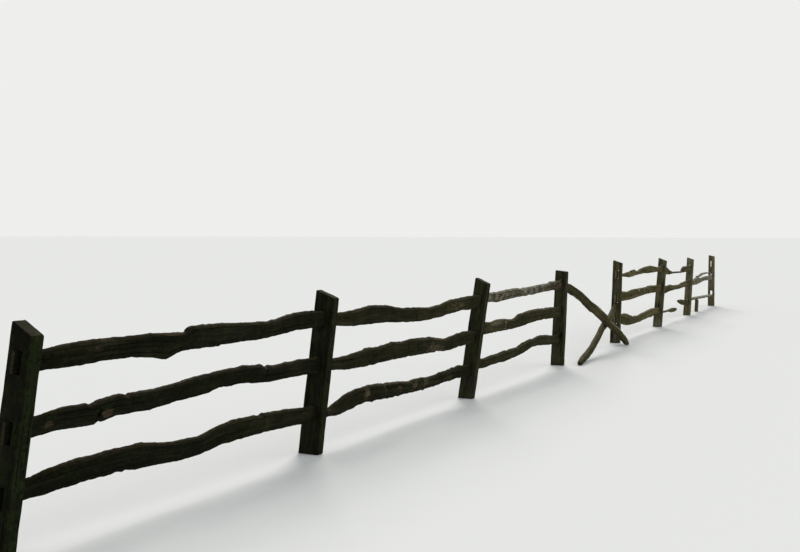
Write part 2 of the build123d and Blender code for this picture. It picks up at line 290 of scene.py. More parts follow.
class Stick:
    """Rings of values for one piece of wood, and the windows that its mortises leave in them."""

    def __init__(self, name, place, grain, deep_steps, thick_steps):
        self.name = name
        self.deep_steps = deep_steps
        self.thick_steps = thick_steps
        marks = np.zeros(place.shape[:2] + (DRY_AND_LIT + 1 - CRACK,))
        self.rings = np.concatenate([place, grain, marks], 2)
        self.windows = []

    def to_mesh(self):
        """The skin between the rings, the two ends, and the walls of the mortises."""
        count, around = self.rings.shape[:2]
        numbers = np.arange(count * around).reshape(count, around)
        side = quads_of(np.concatenate([numbers, numbers[:, :1]], 1))
        keep = np.ones(side.shape[:2], bool)
        for rows, front, back in self.windows:
            for columns in (front, back):
                keep[rows[0]:rows[1], columns[0]:columns[1]] = False
        skin = self.rings.reshape(count * around, -1)
        values, faces, total = [skin], [side[keep]], count * around
        for ring in (0, count - 1):
            inner = end_grid(self.rings[ring], self.deep_steps, self.thick_steps)
            inner[:, CUT] = 1
            grid = end_numbers(ring * around, self.deep_steps, self.thick_steps, total)
            faces.append(quads_of(grid).reshape(-1, 4))
            values.append(inner)
            total += len(inner)
        share = np.linspace(0, 1, self.thick_steps + 1)[1:-1, None, None]
        for rows, front, back in self.windows:
            near = window_loop(numbers, rows, front)
            far = window_loop(numbers, rows, back[::-1])
            inner = skin[near] * (1 - share) + skin[far] * share
            new = total + np.arange(len(share) * len(near)).reshape(len(share), -1)
            wall = np.concatenate([near[None], new, far[None]])
            faces.append(quads_of(np.concatenate([wall, wall[:, :1]], 1)).reshape(-1, 4))
            values.append(inner.reshape(new.size, -1))
            total += new.size
        return mesh_from(self.name, np.concatenate(values), np.concatenate(faces))


# %% [markdown]
# ## Rails
#
# The rails were split from the log with wedges, so their edges swell and dip as the tree grew
# and no two are alike. Each slice of the solid gives one ring. A short running average along the
# length takes the corners off the facets and leaves the outline where it is. Sticks near the
# eye get finer rings than those far off.

# %% Rings of a rail
NEAR_STEP = 0.011
FAR_STEP = 0.014
SMOOTHING = 0.015
BELL_REACH = 3
END_INSET = 0.0003


def slice_frame(outline):
    """The axes, the centred corners, the half sizes and the middle of a slice."""
    edge = np.roll(outline, -1, axis=0) - outline
    longest = edge[np.argmax(np.hypot(edge[:, 0], edge[:, 1]))]
    turn = (math.atan2(longest[1], longest[0]) + math.pi / 4) % (math.pi / 2) - math.pi / 4
    axes = np.array([[math.cos(turn), math.sin(turn)], [-math.sin(turn), math.cos(turn)]])
    local = outline @ axes.T
    low, high = local.min(axis=0), local.max(axis=0)
    middle = (low + high) / 2
    return axes, local - middle, (high - low) / 2, middle @ axes


def running_average(values, rings):
    """Smooth along the first axis with a bell-shaped weight; the two ends stay where they are."""
    span = int(BELL_REACH * rings) + 1
    weights = np.exp(-0.5 * (np.arange(-span, span + 1) / rings) ** 2)
    before = 2 * values[:1] - values[span:0:-1]
    after = 2 * values[-1:] - values[-2:-span - 2:-1]
    padded = np.concatenate([before, values, after])
    return sum(w * padded[i:i + len(values)] for i, w in enumerate(weights / weights.sum()))


def read_stick(name, axis, step, deep_steps, thick_steps):
    """A rail or a stake as rings, one for each slice square to an axis of the row."""
    triangles = triangles_of(name)
    normal = np.eye(3)[axis]
    flat_axes = [other for other in range(3) if other != axis]
    start, end = triangles[:, :, axis].min(), triangles[:, :, axis].max()
    count = int((end - start) / step) + 2
    stations = np.linspace(start + END_INSET, end - END_INSET, count)
    marks = ring_marks(np.linspace(-1, 1, deep_steps + 1), np.linspace(-1, 1, thick_steps + 1))
    flats, grains = [], []
    for station in stations:
        found = slice_points(triangles, normal * station, normal)
        axes, outline, half, middle = slice_frame(convex_outline(found[:, flat_axes]))
        local = marks * half
        local = local * reach(outline, local)[:, None]
        flats.append(local @ axes + middle)
        grains.append(local)
    place = np.empty((len(stations), len(marks), 3))
    place[:, :, axis] = stations[:, None]
    place[:, :, flat_axes] = running_average(np.array(flats), SMOOTHING / step)
    along = np.broadcast_to(stations[:, None, None], place.shape[:2] + (1,))
    grain = np.concatenate([along, np.array(grains)], 2)
    return Stick(name, place, grain, deep_steps, thick_steps)


first_rail = read_stick("bay_1_top_rail", ALONG, NEAR_STEP, *RAIL_STEPS)
print("the first rail is read as", len(first_rail.rings), "rings")

# %% [markdown]
# ## Posts
#
# A post is a squarer stick that leans, with three mortises chopped right through it. Its rings
# stand square to its own axis. They tilt towards the ground at the foot and towards the slanted
# cut at the head, and two of them run along the sill and the top of every mortise, so that the
# windows have straight edges and the walls of the hole join on without a seam.

# %% Measuring a post
MORTISE_HALF_WIDTH = 0.027
WALL_TOLERANCE = 0.0005
MILLIMETRE_DIGITS = 3
LOW_SLICE = 0.06
FOOT_SLICE = 0.1
HIGH_SLICE = 0.80
PAST_MORTISES = 0.02


def read_axis(triangles):
    """The foot of the axis and its lean, from the middles of two level slices."""
    middles = []
    for height in (LOW_SLICE, HIGH_SLICE):
        found = slice_points(triangles, np.array([0, 0, height]), LEVEL)
        middles.append((found.min(axis=0) + found.max(axis=0)) / 2)
    low, high = middles
    drift = (low[1] - high[1]) / (high[2] - low[2])
    foot = np.array([low[0], low[1] + drift * low[2], 0.0])
    return foot, math.atan(drift)


def read_sills(local):
    """Heights of the sill and the top of each mortise, from the corners on their walls."""
    corners = local.reshape(-1, 3)
    at_wall = np.abs(np.abs(corners[:, ACROSS]) - MORTISE_HALF_WIDTH) < WALL_TOLERANCE
    return sorted(set(np.round(corners[at_wall, UP], MILLIMETRE_DIGITS)))


def read_head(local, past):
    """A point on the slanted cut past a height, and how steeply the cut rises across."""
    facing = np.cross(local[:, 1] - local[:, 0], local[:, 2] - local[:, 0])
    is_past = local[:, :, UP].min(axis=1) > past
    head = np.argmax(np.where(is_past, facing[:, UP], 0))
    return local[head].mean(axis=0), -facing[head, ACROSS] / facing[head, UP]


def half_sizes(local, heights):
    """Half the thickness and half the width of a post at each height."""
    cuts = [slice_points(local, np.array([0, 0, height]), LEVEL) for height in heights]
    return np.array([found[:, :2].max(axis=0) for found in cuts])


print("post_1 leans", round(math.degrees(read_axis(triangles_of("post_1"))[1]), 1), "degrees")

# %% Rings of a post
SIDE_STEPS, WINDOW_STEPS, POST_THICK_STEPS = 10, 11, 15
WINDOW_MARK = 0.36
ARRIS = 0.007
HEAD_WEAR = 0.005
HEAD_LENGTH = 0.1
FOOT_BLEND = 0.12


def post_levels(sills, step):
    """Heights of the rings from the ground to the last mortise, and the rings at the sills."""
    levels = [0.0]
    marks = []
    for height in sills:
        steps = max(int(round((height - levels[-1]) / step)), 1)
        levels += list(np.linspace(levels[-1], height, steps + 1)[1:])
        marks.append(len(levels) - 1)
    return np.array(levels), marks


def section_across(marks, half):
    """Places across a post: the mortise's columns keep its width and the rest are spread."""
    size = np.abs(marks)
    beyond = (half - MORTISE_HALF_WIDTH) * (size - WINDOW_MARK) / (1 - WINDOW_MARK)
    outer = MORTISE_HALF_WIDTH + beyond
    inner = MORTISE_HALF_WIDTH * size / WINDOW_MARK
    return np.sign(marks) * np.where(size > WINDOW_MARK, outer, inner)


def round_corner(x, y, half_x, half_y):
    """Pull the points near a corner onto a small round arris."""
    past_x = np.maximum(np.abs(x) - half_x + ARRIS, 0)
    past_y = np.maximum(np.abs(y) - half_y + ARRIS, 0)
    size = np.hypot(past_x, past_y)
    outside = (past_x > 0) & (past_y > 0) & (size > ARRIS)
    pull = np.where(outside, ARRIS / np.maximum(size, TINY), 1)
    back_x = np.where(past_x > 0, past_x * (1 - pull), 0)
    back_y = np.where(past_y > 0, past_y * (1 - pull), 0)
    return x - np.sign(x) * back_x, y - np.sign(y) * back_y


def read_post(name, step):
    """A post as rings square to its axis, with its foot on the ground and a slanted head."""
    triangles = triangles_of(name)
    foot, lean = read_axis(triangles)
    turned = np.array([
        [1, 0, 0], [0, math.cos(lean), math.sin(lean)], [0, -math.sin(lean), math.cos(lean)]])
    local = (triangles - foot) @ turned.T
    sills = read_sills(local)
    past_mortises = sills[-1] + PAST_MORTISES
    anchor, slope = read_head(local, past_mortises)
    heights = np.array([FOOT_SLICE, HIGH_SLICE, past_mortises])
    halves = half_sizes(local, heights)
    deep = np.concatenate([
        np.linspace(-1, -WINDOW_MARK, SIDE_STEPS + 1)[:-1],
        np.linspace(-WINDOW_MARK, WINDOW_MARK, WINDOW_STEPS + 1)[:-1],
        np.linspace(WINDOW_MARK, 1, SIDE_STEPS + 1),
    ])
    marks = ring_marks(deep, np.linspace(-1, 1, POST_THICK_STEPS + 1))
    levels, window_rows = post_levels(sills, step)
    above = np.linspace(0, 1, int(HEAD_LENGTH / step) + 2)[1:]
    last = len(levels) + len(above)
    places, grains = [], []
    for k in range(last + 1):
        height = levels[min(k, len(levels) - 1)]
        wear = HEAD_WEAR if k == last else 0
        half_thick = np.interp(height, heights, halves[:, 0]) - wear
        half_deep = np.interp(height, heights, halves[:, 1]) - wear
        across = section_across(marks[:, 1], half_deep)
        beside, across = round_corner(marks[:, 0] * half_thick, across, half_thick, half_deep)
        if k < len(levels):
            ground = -across * math.tan(lean)
            up = height + ground * max(1 - height / FOOT_BLEND, 0)
        else:
            slant = anchor[2] + slope * (across - anchor[1])
            share = above[min(k - len(levels), len(above) - 1)]
            up = height + (slant - HEAD_WEAR - height) * share + wear
        places.append(np.stack([beside, across, up], 1) @ turned + foot)
        grains.append(np.stack([up, beside, across], 1))
    deep_steps = len(deep) - 1
    post = Stick(name, np.array(places), np.array(grains), deep_steps, POST_THICK_STEPS)
    front = (SIDE_STEPS, SIDE_STEPS + WINDOW_STEPS)
    back = tuple(column + deep_steps + POST_THICK_STEPS for column in front)
    post.windows = [(rows, front, back) for rows in zip(window_rows[::2], window_rows[1::2])]
    return post


print("the first post has", len(read_post("post_1", NEAR_STEP).windows), "mortises")

# %% [markdown]
# ## Drying cracks and torn ends
#
# Cleft oak opens in long cracks that follow the grain. A column of the mesh already follows it,
# so a crack is made there: its two neighbours are drawn close to the column, and the column
# itself is marked with the depth that the Geometry Nodes tree then sinks it by. That gives a
# sharp groove with no extra faces. A broken rail ends in fibres of uneven length, so near such
# an end every column stops short by its own amount.

# %% Cracks along the grain
CRACK_HALF_WIDTH = 0.0016
CRACK_DEPTHS = (0.004, 0.010)
CRACK_KNOTS = 8
UNEVEN_SHARE = 0.25
DEPTH_RAMP, WIDTH_RAMP = 5, 3
TRIES_PER_CRACK = 8
SHORTEST_CRACK = 6
CLEAR_COLUMNS = 2
CLEAR_RINGS = 3


def wander(count, knots, rng):
    """A random line of values between -1 and 1, straight from knot to knot."""
    heights = rng.uniform(-1, 1, knots + 1)
    return np.interp(np.linspace(0, knots, count), np.arange(knots + 1), heights)


def crack_open(stick, column, first, last, depth, rng):
    """A crack along one column between two rings, deepest in the middle."""
    rings = stick.rings
    around = rings.shape[1]
    span = np.arange(first, last)
    share = (np.arange(len(span)) + 1) / (len(span) + 1)
    uneven = 1 - UNEVEN_SHARE + UNEVEN_SHARE * wander(len(span), CRACK_KNOTS, rng)
    bell = np.minimum(1, DEPTH_RAMP * share * (1 - share)) * uneven
    middle = rings[span, column, PLACE_AND_GRAIN]
    for side in (-1, 1):
        beside = rings[span, (column + side) % around, PLACE_AND_GRAIN]
        gap = np.linalg.norm(beside[:, PLACE] - middle[:, PLACE], axis=1)
        reachable = np.clip(CRACK_HALF_WIDTH * (0.5 + bell) / gap, 0, 1)
        pull = 1 - (1 - reachable) * np.minimum(1, WIDTH_RAMP * bell)
        drawn = middle + (beside - middle) * pull[:, None]
        rings[span, (column + side) % around, PLACE_AND_GRAIN] = drawn
    rings[span, column, CRACK] = np.maximum(rings[span, column, CRACK], depth * bell)


def open_cracks(stick, count, lengths, rng):
    """Cracks at random columns, clear of the corners, the mortises and each other."""
    rings, around = stick.rings.shape[:2]
    half = stick.deep_steps + stick.thick_steps
    taken = np.zeros((rings, around), bool)
    for corner in (0, stick.deep_steps, half, half + stick.deep_steps):
        taken[:, corner] = True
    for rows, front, back in stick.windows:
        for columns in (front, back):
            taken[rows[0] - 2:rows[1] + 3, columns[0] - 1:columns[1] + 2] = True
    made = 0
    for _ in range(count * TRIES_PER_CRACK):
        column = int(rng.integers(CLEAR_COLUMNS, around - CLEAR_COLUMNS))
        length = int(rng.uniform(*lengths) * rings)
        farthest = max(rings - length - CLEAR_RINGS, CLEAR_RINGS + 1)
        first = int(rng.integers(CLEAR_RINGS, farthest))
        depth = rng.uniform(*CRACK_DEPTHS)
        beside = slice(column - CLEAR_COLUMNS, column + CLEAR_COLUMNS + 1)
        block = taken[first:first + length, beside]
        if made < count and length > SHORTEST_CRACK and not block.any():
            block[:] = True
            crack_open(stick, column, first, first + length, depth, rng)
            made += 1


print("cracks sink by up to", max(CRACK_DEPTHS) * 1000, "mm")

# %% Torn ends
TORN_KNOTS = 9
TORN_REACH = 2.2


def tear_end(stick, at_start, longest, rng):
    """Make the columns of a broken end stop short by uneven amounts."""
    rings = stick.rings
    around = rings.shape[1]
    tip = 0 if at_start else -1
    end = rings[tip, :, ALONG].mean()
    reach_back = longest * TORN_REACH
    lengths = rng.uniform(0.1, 0.8, TORN_KNOTS)
    knots = np.linspace(0, around, TORN_KNOTS)
    coarse = np.interp(np.arange(around), knots, lengths, period=around)
    short = np.clip(coarse + rng.uniform(-0.25, 0.25, around), 0, 1) * longest
    away = np.abs(rings[:, :, ALONG] - end)
    moved = short + away * (1 - short / reach_back)
    inwards = 1 if at_start else -1
    rings[:, :, ALONG] = np.where(away < reach_back, end + inwards * moved, rings[:, :, ALONG])
    rings[tip, :, CUT] = 1


print("a tear reaches back", TORN_REACH, "times its longest missing fibre")

# %% [markdown]
# The rest of the wear is local: edges that chipped when the rail was split or struck, checks
# that run across the grain, and pale wood laid bare where a splinter came off. Each is placed by
# its distance along the row.

# %% Chipped edges
BITE_CURVE = 0.6
CHIPS_PER_METRE = 3.2
CHIP_CLEARANCE = 0.15
STEEP_SIDE = (0.012, 0.04)
LONG_SIDE = (0.05, 0.16)
SHARE_FROM_TOP = 0.6


def height_share(stick):
    """How far up its own ring each point is, from 0 to 1."""
    up = stick.rings[:, :, UP]
    low, high = up.min(axis=1, keepdims=True), up.max(axis=1, keepdims=True)
    return (up - low) / (high - low)


def notch(stick, at, before, after, depth, from_top):
    """A bite out of the upper or the lower edge, with its own length on each side."""
    past = stick.rings[:, :, ALONG] - at
    share = np.clip(np.where(past < 0, 1 + past / before, 1 - past / after), 0, 1)
    bite = depth * share ** BITE_CURVE
    lift = height_share(stick)
    stick.rings[:, :, UP] += -bite * lift if from_top else bite * (1 - lift)


def chip_edges(stick, deepest, rng):
    """Small bites along both edges, about three to each metre."""
    start, end = stick.rings[:, :, ALONG].min(), stick.rings[:, :, ALONG].max()
    for _ in range(int(CHIPS_PER_METRE * (end - start))):
        steep, long = rng.uniform(*STEEP_SIDE), rng.uniform(*LONG_SIDE)
        before, after = (steep, long) if rng.random() < 0.5 else (long, steep)
        at = rng.uniform(start + CHIP_CLEARANCE, end - CHIP_CLEARANCE)
        depth = rng.uniform(0.3, 1.0) * deepest
        notch(stick, at, before, after, depth, rng.random() < SHARE_FROM_TOP)


print("edges are chipped about", round(CHIPS_PER_METRE), "times to the metre")

# %% Checks, bare wood and dry lengths
CHECK_REACH = 0.07
BARE_BORDER = 1.15
DRY_BORDER = 0.05


def check_across(stick, at, slant, low, high, depth, pale, lip, rng):
    """A crack across the near face between two shares of its height, with a pale lip."""
    rings = stick.rings
    columns = np.arange(max(int(low * stick.deep_steps), 1), int(high * stick.deep_steps))
    height = columns / stick.deep_steps - (low + high) / 2
    line = at + slant * height + abs(slant) * 0.5 * (1 - (2 * height / (high - low)) ** 2)
    middle = int(np.argmin(np.abs(rings[:, columns[0], ALONG] - at)))
    away = np.abs(rings[:, columns, ALONG] - at)
    shift = (line - rings[middle, columns, ALONG]) * np.clip(1 - away / CHECK_REACH, 0, 1)
    for axis in (ALONG, GRAIN_ALONG):
        rings[:, columns, axis] += shift
    for side in (-1, 1):
        border = rings[middle, columns, ALONG] + side * 2 * CRACK_HALF_WIDTH
        rings[middle + side, columns, ALONG] = border
    rings[middle, columns, CRACK] = depth
    paleness = pale * rng.uniform(0.5, 1.0, len(columns))
    rings[middle + 1:middle + 1 + lip, columns, LAID_BARE] = paleness


def lay_bare(stick, start, end, low, high, amount):
    """Mark a round patch of the near face, up to the middle of the top, as bare wood."""
    rings = stick.rings
    seen = np.arange(rings.shape[1]) <= stick.deep_steps + stick.thick_steps // 2
    along = np.abs(rings[:, :, ALONG] - (start + end) / 2) / (end - start) * 2
    up = np.abs(height_share(stick) - (low + high) / 2) / (high - low) * 2
    inside = np.clip(2 * (BARE_BORDER - np.hypot(along, up)), 0, 1) * seen
    rings[:, :, LAID_BARE] = np.maximum(rings[:, :, LAID_BARE], amount * inside)


def dry_out(stick, start, end, amount):
    """Make a length of the stick drier, and so paler, than the rest, with a soft border."""
    along = stick.rings[:, :, ALONG]
    after_start = np.clip((along - start) / DRY_BORDER, 0, 1)
    before_end = np.clip((end - along) / DRY_BORDER, 0, 1)
    stick.rings[:, :, DRY_AND_LIT] += amount * (after_start * before_end)


print("a dry length fades over", DRY_BORDER * 1000, "mm")

# %% [markdown]
# ## The weathered skin
#
# Rain and frost wash the soft wood out from between the harder streaks, so the surface of an old
# rail is a run of fine ridges along the grain, over the slow swell that the wedge left. A
# displacement in the finish would not move the mesh itself, so a Geometry Nodes tree moves the
# points themselves. It reads the place in the grain, which makes the ridges follow every bend of
# the stick.

# %% Arithmetic on sockets


class Wire:
    """One socket of a node tree. Ordinary arithmetic on it adds the Math nodes."""

    def __init__(self, tree, socket=None):
        self.tree = tree
        self.socket = socket

    def node(self, kind, settings=None, sockets=None, result=0):
        """Adds a node: its settings first, then the values or links of its sockets."""
        made = self.tree.nodes.new(kind)
        for key, value in (settings or {}).items():
            setattr(made, key, value)
        for key, value in (sockets or {}).items():
            if isinstance(value, Wire):
                self.tree.links.new(value.socket, made.inputs[key])
            else:
                made.inputs[key].default_value = value
        return Wire(self.tree, made.outputs[result])

    def math(self, operation, *values):
        return self.node("ShaderNodeMath", {"operation": operation}, dict(enumerate(values)))

    def __add__(self, other):
        return self.math("ADD", self, other)

    def __sub__(self, other):
        return self.math("SUBTRACT", self, other)

    def __mul__(self, other):
        return self.math("MULTIPLY", self, other)

    def __rsub__(self, other):
        return self.math("SUBTRACT", other, self)

    def __rtruediv__(self, other):
        return self.math("DIVIDE", other, self)

    __radd__ = __add__
    __rmul__ = __mul__

    def at_most(self, other):
        return self.math("MINIMUM", self, other)

    def at_least(self, other):
        return self.math("MAXIMUM", self, other)

    def between(self, low, high):
        """0 below low and 1 above high, with a smooth step."""
        return self.node("ShaderNodeMapRange", {"interpolation_type": "SMOOTHSTEP"},
                         {"Value": self, "From Min": low, "From Max": high})

    def times(self, along, beside, across):
        """A vector with each part scaled."""
        return self.node("ShaderNodeVectorMath", {"operation": "MULTIPLY"},
                         {0: self, 1: (along, beside, across)})

    def noise(self, detail, roughness=0.5):
        """Noise read at this vector, about 0.5."""
        return self.node("ShaderNodeTexNoise", {"noise_dimensions": "3D"}, {
            "Vector": self, "Scale": 1.0, "Detail": detail, "Roughness": roughness})


# %% The tree that weathers a stick
SKIN_SIZES = {
    "Ridge Depth": 0.0020, "Ridge Pitch": 0.013, "Swell": 0.0045, "Edge Waver": 0.010, "Sink": 1.0,
}
RIDGE_STRETCH = 0.07
SWELL_PITCH = (5, 16, 16)
WAVER_PITCH = (13, 9, 5)


def make_skin_tree():
    """Move every point along its normal by the ridges, the swell, the waver and the cracks."""
    tree = bpy.data.node_groups.new("weathered_skin", "GeometryNodeTree")
    add_socket = tree.interface.new_socket
    add_socket("Geometry", in_out="INPUT", socket_type="NodeSocketGeometry")
    for key, size in SKIN_SIZES.items():
        add_socket(key, in_out="INPUT", socket_type="NodeSocketFloat").default_value = size
    add_socket("Finish", in_out="INPUT", socket_type="NodeSocketMaterial")
    add_socket("Geometry", in_out="OUTPUT", socket_type="NodeSocketGeometry")
    start = tree.nodes.new("NodeGroupInput")
    end = tree.nodes.new("NodeGroupOutput")
    given = {socket.name: Wire(tree, socket) for socket in start.outputs}
    wire = Wire(tree)

    def read(name, kind="FLOAT"):
        return wire.node("GeometryNodeInputNamedAttribute", {"data_type": kind}, {"Name": name})

    grain = read("grain", "FLOAT_VECTOR")
    pitch = 1 / given["Ridge Pitch"]
    stretched = wire.node(
        "ShaderNodeCombineXYZ", None, {0: pitch * RIDGE_STRETCH, 1: pitch, 2: pitch})
    fine = wire.node("ShaderNodeVectorMath", {"operation": "MULTIPLY"}, {0: grain, 1: stretched})
    ridges = fine.noise(2.0, 0.6) - 0.5
    swell = grain.times(*SWELL_PITCH).noise(1.0) - 0.5
    waver = grain.times(*WAVER_PITCH).noise(4.0, 0.75) - 0.5
    loose = 1 - read("calm")
    facing_up = wire.math("ABSOLUTE", read("sky"))
    uneven = (ridges * given["Ridge Depth"] + swell * given["Swell"]
              + waver * facing_up * given["Edge Waver"])
    height = uneven * 2 * loose - read("crack") * given["Sink"]
    push = wire.node("ShaderNodeVectorMath", {"operation": "SCALE"},
                     {0: wire.node("GeometryNodeInputNormal"), "Scale": height})
    moved = wire.node(
        "GeometryNodeSetPosition", None, {"Geometry": given["Geometry"], "Offset": push})
    whole = wire.node("GeometryNodeRealizeInstances", None, {"Geometry": moved})
    dressed = wire.node(
        "GeometryNodeSetMaterial", None, {"Geometry": whole, "Material": given["Finish"]})
    tree.links.new(dressed.socket, end.inputs[0])
    return tree


skin_tree = make_skin_tree()
print("weathered skin:", len(skin_tree.nodes), "nodes")

# %% [markdown]
# ## The finish
#
# The wood is oak that has stood out for many years. It is nearly black where water sits in the
# grain, brown on the ridges, silvery along the worn top edges, which is partly a painted
# highlight, and green with algae where it stays damp. Near the eye all of it is painted damp and
# dark, as painted shade, and far off drier and paler, as painted haze. One function mixes those
# layers, so that the posts, the rails and the frosted rails differ only in their colours and
# amounts. Most patterns read the stick's own grain, so streaks run along it and the growth rings
# show only on cut ends. Stains, algae and frost take no notice of the grain, so they read Object
# coordinates.

# %% Colours and patterns
# Repeats to the metre, along the grain and across it
FIBRE = (14, 380, 380)
STREAK = (1.8, 62, 62)
BAND = (1.1, 21, 21)
SPLIT = (3.0, 90, 90)
RAGGED = (26, 70, 70)
# Repeats to the metre every way
STAIN, PATCH, MOTTLE, CRYSTALS = 4, 9, 38, 260
RING_PITCH = 0.0045
PITH = (0, 0.02, 0.11)
RELIEF_STRENGTH = 0.9
RELIEF_DEPTH = 0.004
OLD_WOOD_GLOSS = 0.05


def paint(red, green, blue):
    return (red, green, blue, 1.0)


HOLLOW = paint(0.004, 0.003, 0.002)
MOSS = paint(0.050, 0.048, 0.016)
# Bare wood and algae, each damp in painted shade near the eye and dried in painted haze far off
DAMP_SHADED_BARE = paint(0.050, 0.036, 0.021)
DRIED_LIT_BARE = paint(0.42, 0.36, 0.24)
DAMP_SHADED_ALGAE = paint(0.013, 0.0215, 0.0055)
DRIED_LIT_ALGAE = paint(0.138, 0.134, 0.026)
RIME = paint(0.46, 0.45, 0.43)


def mix(wire, share, first, second):
    """One colour over another by a share from 0 to 1."""
    return wire.node("ShaderNodeMix", {"data_type": "RGBA"}, {0: share, 6: first, 7: second}, 2)


print("growth rings are", RING_PITCH * 1000, "mm apart")

# %% Weathered oak


def make_oak(name, damp_in_shade, dried_and_lit, silvering_and_highlight, dampness, frost):
    """A finish of weathered oak. Damp and dried are each three colours: the heart, the ridges
    and the worn top. The damp colours are the wood in painted shade near the eye, and the dried
    colours the wood in painted haze far off. The last three are how much of the worn top, green
    and white there is; the worn top is partly a painted highlight."""
    material = bpy.data.materials.new(name)
    material.use_nodes = True
    tree = material.node_tree
    tree.nodes.clear()
    wire = Wire(tree)

    def read(key, output):
        return wire.node("ShaderNodeAttribute", {"attribute_name": key}, None, output)

    grain = read("grain", "Vector")
    crack = read("crack", "Fac")
    cut = read("cut", "Fac").between(0.55, 0.95)
    sky = read("sky", "Fac")
    near = read("near", "Fac")
    bare = read("bare", "Fac")
    dry_and_lit = read("dry_and_lit", "Fac")
    place = wire.node("ShaderNodeTexCoord", None, None, "Object")

    fibre = grain.times(*FIBRE).noise(2.0, 0.6)
    streak = grain.times(*STREAK).noise(4.0, 0.7)
    band = grain.times(*BAND).noise(2.0, 0.6)
    split = grain.times(*SPLIT).noise(1.0) - 0.5
    ragged = grain.times(*RAGGED).noise(3.0, 0.65)
    stain = place.times(STAIN, STAIN, STAIN).noise(3.0, 0.6)
    patch = place.times(PATCH, PATCH, PATCH).noise(3.0, 0.65)
    mottle = place.times(MOTTLE, MOTTLE, MOTTLE).noise(3.0, 0.7)
    crystals = place.times(CRYSTALS, CRYSTALS, CRYSTALS).noise(2.0, 0.7)
    tone = fibre * 0.22 + streak * 0.38 + band * 0.25 + stain * 0.15
    worn = tone.between(0.49, 0.60)

    # The worn grain: dark hollows, the heart, the ridges and a silvered top, partly a painted
    # highlight on what faces up
    # The heart, ridge and silver colours each run from damp, in painted shade, to dried, in
    # painted haze
    heart, ridge, silver = (mix(wire, dry_and_lit, wet_in_shade, pale) for wet_in_shade, pale in zip(damp_in_shade, dried_and_lit))
    colour = mix(wire, tone.between(0.38, 0.50), HOLLOW, heart)
    colour = mix(wire, worn, colour, ridge)
    silvered_and_lit = sky.between(0.25, 0.85) * 0.8 + stain.between(0.5, 0.75) * 0.35
    silvered_and_lit = (silvered_and_lit * fibre.between(0.35, 0.6) * silvering_and_highlight).at_most(1.0)
    colour = mix(wire, silvered_and_lit, colour, silver)

    # Algae in patches, and most on the faces that the sun does not reach
    green = patch.between(0.40, 0.58) * 0.6 + near.between(0.3, 0.9) * 0.5
    green = (green * mottle.between(0.34, 0.60) * dampness).at_most(1.0)
    # Damp algae in painted shade near the eye, dried algae in painted haze far off
    colour = mix(wire, green, colour, mix(wire, dry_and_lit, DAMP_SHADED_ALGAE, DRIED_LIT_ALGAE))

    # Cut ends: growth rings round a pith beside the stick, with moss in patches
    from_pith = wire.node("ShaderNodeVectorMath", {"operation": "SUBTRACT"},
                          {0: grain.times(0, 1, 1), 1: PITH})
    radius = wire.node("ShaderNodeVectorMath", {"operation": "LENGTH"}, {0: from_pith}, "Value")
    rings = wire.math("SINE", radius * (2 * math.pi / RING_PITCH) + streak * 6)
    end_wood = mix(wire, rings.between(-0.6, 0.9) * 0.5 + mottle * 0.5, heart, silver)
    mossy = patch.between(0.45, 0.6) * mottle.between(0.4, 0.6) * dampness
    end_wood = mix(wire, mossy, end_wood, MOSS)
    colour = mix(wire, cut * 0.9, colour, end_wood)

    # Bare wood with a ragged border, streaked along the grain
    laid_bare = (bare + ragged * 1.3 - 0.65).between(0.25, 0.60)
    laid_bare = laid_bare * bare.between(0.0, 0.15) * (streak * 0.7 + 0.55)
    # Bare wood is damp and dark in painted shade near the eye, and dry and pale in painted haze
    # far off
    colour = mix(wire, laid_bare.at_most(1.0), colour, mix(wire, dry_and_lit, DAMP_SHADED_BARE, DRIED_LIT_BARE))

    # Nearly black in the cracks, and in hairlines between the streaks
    hairline = 1 - wire.math("ABSOLUTE", split).between(0.0, 0.022)
    hairline = hairline * streak.between(0.38, 0.52)
    dark = (crack.between(0.0002, 0.0022) + hairline * 0.8).at_most(1.0)
    colour = mix(wire, dark, colour, HOLLOW)

    # Rime where the wood is drier and painted paler, and most on what faces the sky
    laid = sky.between(0.0, 0.8) * 0.5 + patch.between(0.48, 0.60)
    frozen = (mottle * 0.5 + crystals * 0.5).between(0.42, 0.58) * dry_and_lit.between(0.05, 0.30)
    rime = (laid * frozen * (1 - dark) * frost).at_most(0.9)
    colour = mix(wire, rime, colour, RIME)

    relief = (fibre * 0.35 + streak * 0.65 - dark * 0.9 + mottle * 0.2 + band * 0.5
              + rings * cut * 0.12)
    bump = wire.node("ShaderNodeBump", None, {
        "Strength": RELIEF_STRENGTH, "Distance": RELIEF_DEPTH, "Height": relief})
    surface = wire.node("ShaderNodeBsdfPrincipled", None, {
        "Base Color": colour, "Roughness": 0.95 - worn * 0.15, "Normal": bump,
        "Specular IOR Level": OLD_WOOD_GLOSS})
    output = tree.nodes.new("ShaderNodeOutputMaterial")
    tree.links.new(surface.socket, output.inputs["Surface"])
    return material


